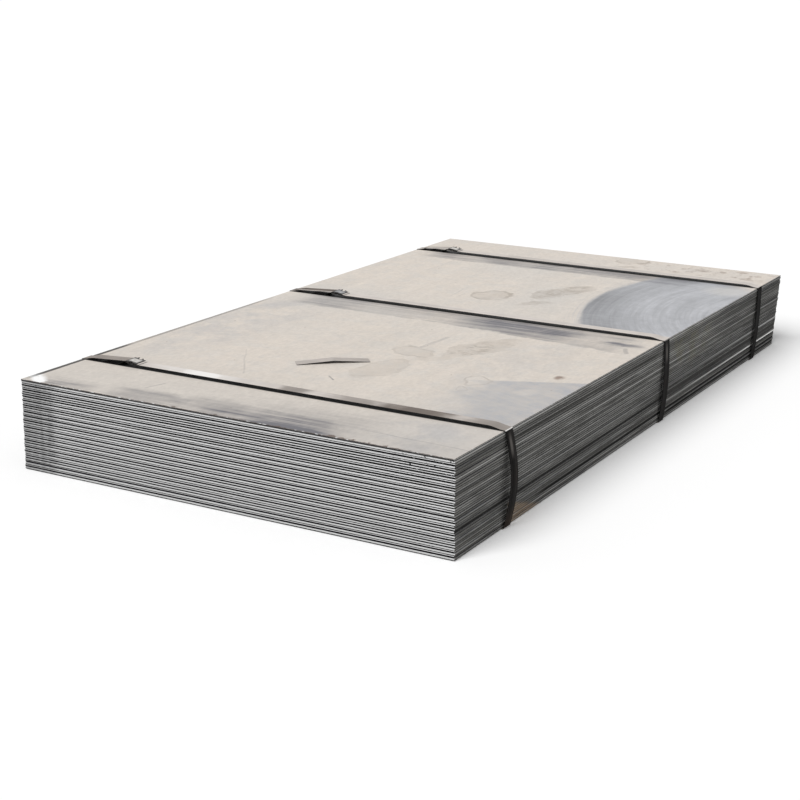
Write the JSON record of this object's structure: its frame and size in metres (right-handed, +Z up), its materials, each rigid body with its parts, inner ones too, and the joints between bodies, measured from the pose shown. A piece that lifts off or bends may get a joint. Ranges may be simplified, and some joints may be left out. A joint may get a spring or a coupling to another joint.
{
  "type": "strapped bundle of steel sheets",
  "caption": "Flat rectangular bundle of stacked bare steel sheets with sheared edges, held by flat steel straps with notched seals, as delivered stock.",
  "frame": {"origin": "middle of the bundle on the surface that it stands on, under the straps", "axes": "+X along the sheets' length, +Y across them towards the edge by the seals, +Z up"},
  "size_m": [2.0053, 1.1366, 0.2253],
  "materials": {
    "sheet_steel": "bare cold mill finish, lightly oiled and smeared",
    "strap_steel": "worn dark strapping finish",
    "seal_steel": "crimped, dull"
  },
  "bodies": {
    "root": {"sheet_01": "sheet_steel", "sheet_02": "sheet_steel", "sheet_03": "sheet_steel", "sheet_04": "sheet_steel", "sheet_05": "sheet_steel", "sheet_06": "sheet_steel", "sheet_07": "sheet_steel", "sheet_08": "sheet_steel", "sheet_09": "sheet_steel", "sheet_10": "sheet_steel", "sheet_11": "sheet_steel", "sheet_12": "sheet_steel", "sheet_13": "sheet_steel", "sheet_14": "sheet_steel", "sheet_15": "sheet_steel", "sheet_16": "sheet_steel", "sheet_17": "sheet_steel", "sheet_18": "sheet_steel", "sheet_19": "sheet_steel", "sheet_20": "sheet_steel", "sheet_21": "sheet_steel", "sheet_22": "sheet_steel", "sheet_23": "sheet_steel", "sheet_24": "sheet_steel", "sheet_25": "sheet_steel", "sheet_26": "sheet_steel", "sheet_27": "sheet_steel", "sheet_28": "sheet_steel", "sheet_29": "sheet_steel", "sheet_30": "sheet_steel", "sheet_31": "sheet_steel", "sheet_32": "sheet_steel", "sheet_33": "sheet_steel", "sheet_34": "sheet_steel", "sheet_35": "sheet_steel", "sheet_36": "sheet_steel", "sheet_37": "sheet_steel", "sheet_38": "sheet_steel", "sheet_39": "sheet_steel", "sheet_40": "sheet_steel", "sheet_41": "sheet_steel", "strap_near": "strap_steel", "strap_middle": "strap_steel", "strap_far": "strap_steel", "seal_near": "seal_steel", "seal_middle": "seal_steel", "seal_far": "seal_steel", "strap_offcut": "strap_steel"}
  },
  "joints": []
}
